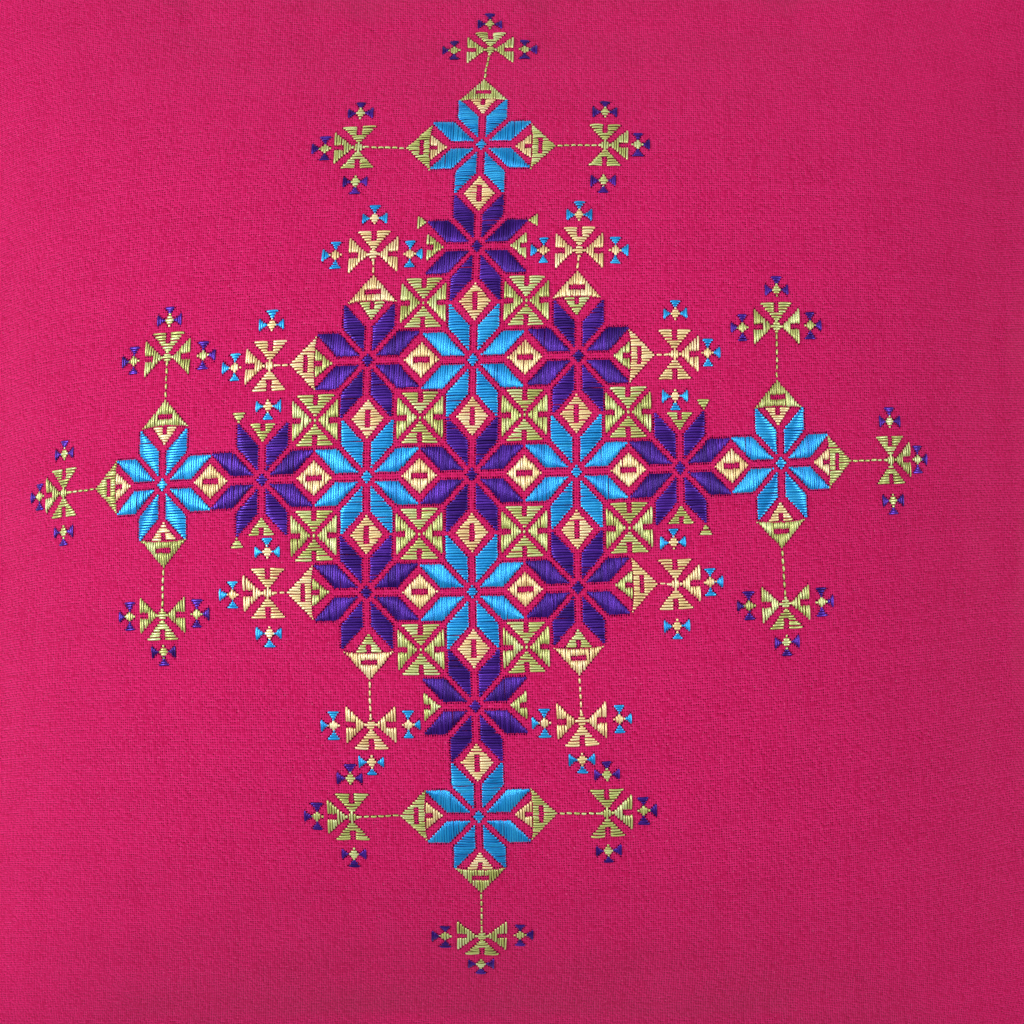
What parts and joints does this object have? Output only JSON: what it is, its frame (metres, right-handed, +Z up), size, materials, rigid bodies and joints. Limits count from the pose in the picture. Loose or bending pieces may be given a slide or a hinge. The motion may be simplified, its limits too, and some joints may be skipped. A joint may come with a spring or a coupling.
{
  "type": "embroidered cushion cover",
  "caption": "Filled square cushion with a crowned face, sides drawn in between pointed corners, and a counted-thread star embroidery on magenta cotton.",
  "frame": {"origin": "centre of the cushion's footprint, on the surface that it rests on", "axes": "+Z up, out of the embroidered face; +Y towards the top edge of the embroidery as the picture shows it; +X to its right"},
  "size_m": [0.39, 0.39, 0.13],
  "materials": {
    "cotton": "matte plain-weave magenta cotton with slight slubs",
    "floss_blue": "glossy stranded floss in satin stitch",
    "floss_purple": "glossy stranded floss in satin stitch",
    "floss_yellow": "glossy stranded floss in satin stitch",
    "floss_green": "glossy stranded floss in satin stitch"
  },
  "bodies": {
    "root": {"cushion_cover": "cotton"}
  },
  "joints": []
}
